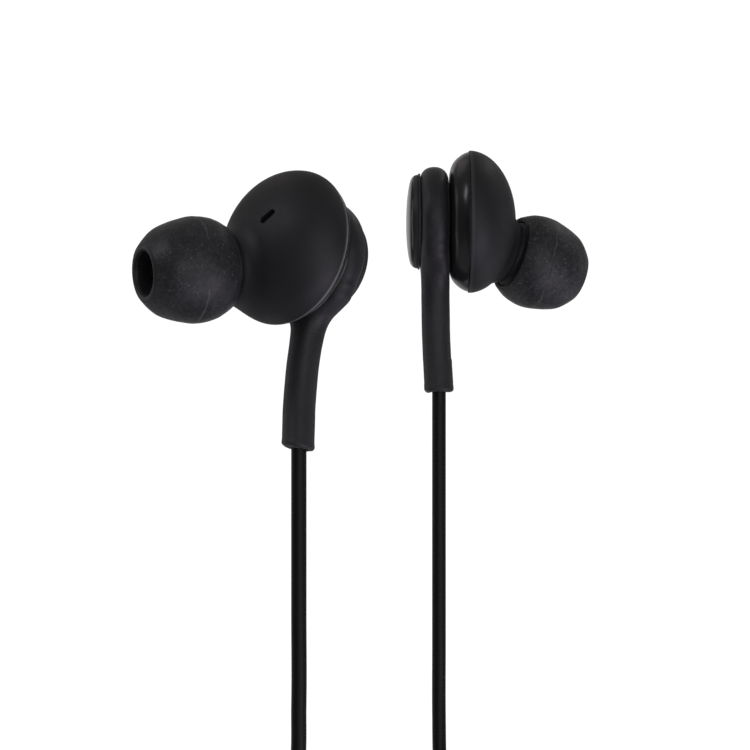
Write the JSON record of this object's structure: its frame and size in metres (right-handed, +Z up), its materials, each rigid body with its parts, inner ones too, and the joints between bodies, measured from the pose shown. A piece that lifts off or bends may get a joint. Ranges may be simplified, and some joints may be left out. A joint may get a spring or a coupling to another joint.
{
  "type": "wired earphones",
  "caption": "Wired in-ear earphones: mirrored buds with angled nozzles and soft tips, straight stems, a forked cord with in-line remote, tied hank and 3.5 mm plug.",
  "frame": {"origin": "centre of the left ear tip's mouth, the point that sits deepest in the wearer's left ear", "axes": "+Z up, with the cords hanging down along -Z; +X from the right bud towards the left ear side; +Y away from the viewer, roughly the wearer's forward direction for the left bud"},
  "size_m": [0.049, 0.0471, 0.1494],
  "materials": {
    "bare_steel": "bare steel",
    "circuit_board": "green solder mask",
    "copper_wire": "enamelled copper",
    "cord_black": "smooth black jacket",
    "cord_fittings": "moulded black elastomer",
    "diaphragm_film": "thin polymer film",
    "gloss_black": "polished black, faint scratches",
    "key_black": "matte black keys",
    "magnet_nickel": "nickel-plated magnet",
    "matte_black": "fine matte black",
    "plug_gold": "gold-plated contacts",
    "plug_insulator": "black insulator rings",
    "remote_black": "satin black",
    "silicone_black": "black silicone with dust and fine scratches",
    "soft_black": "soft-touch black, fine grain",
    "tie_strap": "black hook-and-loop strap",
    "vent_mesh": "fine black mesh",
    "zinc_steel": "zinc-plated steel"
  },
  "bodies": {
    "harness": {"left_cord": "cord_black", "left_cord_end": "cord_black", "right_cord_upper": "cord_black", "right_cord_lower": "cord_black", "right_cord_end": "cord_black", "main_cord_start": "cord_black", "main_cord_end": "cord_black", "cord_hank": "cord_black", "cord_tie": "tie_strap", "fork_front_half": "cord_fittings", "fork_back_half": "cord_fittings", "remote_front_cover": "remote_black", "remote_back_cover": "remote_black", "remote_board": "circuit_board", "remote_switches": "bare_steel", "remote_microphone": "bare_steel", "plug_grip": "cord_fittings", "plug_ground_sleeve": "plug_gold", "plug_mic_ring": "plug_gold", "plug_right_ring": "plug_gold", "plug_tip": "plug_gold", "plug_insulators": "plug_insulator"},
    "left_bud": {"left_rear_cap": "gloss_black", "left_stem_housing": "soft_black", "left_terminal_board": "circuit_board", "left_lead_wires": "copper_wire", "left_rear_shell": "gloss_black", "left_driver_frame": "bare_steel", "left_driver_yoke": "zinc_steel", "left_driver_magnet": "magnet_nickel", "left_driver_top_plate": "zinc_steel", "left_driver_cover": "bare_steel", "left_front_shell": "matte_black", "left_vent_screen": "vent_mesh", "left_nozzle_screen": "bare_steel", "left_cord_knot": "cord_black"},
    "left_tip": {"left_ear_tip": "silicone_black"},
    "left_cone": {"left_voice_coil": "copper_wire", "left_diaphragm": "diaphragm_film"},
    "right_bud": {"right_rear_cap": "gloss_black", "right_stem_housing": "soft_black", "right_terminal_board": "circuit_board", "right_lead_wires": "copper_wire", "right_rear_shell": "gloss_black", "right_driver_frame": "bare_steel", "right_driver_yoke": "zinc_steel", "right_driver_magnet": "magnet_nickel", "right_driver_top_plate": "zinc_steel", "right_driver_cover": "bare_steel", "right_front_shell": "matte_black", "right_vent_screen": "vent_mesh", "right_nozzle_screen": "bare_steel", "right_cord_knot": "cord_black"},
    "right_tip": {"right_ear_tip": "silicone_black"},
    "right_cone": {"right_voice_coil": "copper_wire", "right_diaphragm": "diaphragm_film"},
    "volume_up_key": {"volume_up_key": "key_black"},
    "play_key": {"play_key": "key_black"},
    "volume_down_key": {"volume_down_key": "key_black"}
  },
  "joints": [
    {"name": "left_bud_twist", "type": "hinge", "parent": "harness", "child": "left_bud", "pos_m": [-0.01635, -0.00913, -0.01336], "axis": [0, 0, 1], "range_deg": [-90, 90], "stiffness_Nm_per_rad": 0.0002},
    {"name": "right_bud_twist", "type": "hinge", "parent": "harness", "child": "right_bud", "pos_m": [-0.0312, -0.03683, -0.01891], "axis": [0, 0, 1], "range_deg": [-90, 90], "stiffness_Nm_per_rad": 0.0002},
    {"name": "left_tip_pull", "type": "slide", "parent": "left_bud", "child": "left_tip", "axis": [0.9015, 0.3225, -0.2886], "range_m": [0, 0.006]},
    {"name": "right_tip_pull", "type": "slide", "parent": "right_bud", "child": "right_tip", "axis": [-0.8697, -0.4884, -0.0711], "range_m": [0, 0.006]},
    {"name": "left_cone_stroke", "type": "slide", "parent": "left_bud", "child": "left_cone", "axis": [1, 0.0052, -0.0044], "range_m": [-0.00015, 0.00015], "stiffness_N_per_m": 40},
    {"name": "right_cone_stroke", "type": "slide", "parent": "right_bud", "child": "right_cone", "axis": [-0.6479, -0.7298, 0.2181], "range_m": [-0.00015, 0.00015], "stiffness_N_per_m": 40},
    {"name": "volume_up_key_press", "type": "slide", "parent": "harness", "child": "volume_up_key", "axis": [1, 0, 0], "range_m": [0, 0.0003], "stiffness_N_per_m": 3000, "springref_m": -0.0003},
    {"name": "play_key_press", "type": "slide", "parent": "harness", "child": "play_key", "axis": [1, 0, 0], "range_m": [0, 0.0003], "stiffness_N_per_m": 3000, "springref_m": -0.0003},
    {"name": "volume_down_key_press", "type": "slide", "parent": "harness", "child": "volume_down_key", "axis": [1, 0, 0], "range_m": [0, 0.0003], "stiffness_N_per_m": 3000, "springref_m": -0.0003}
  ]
}
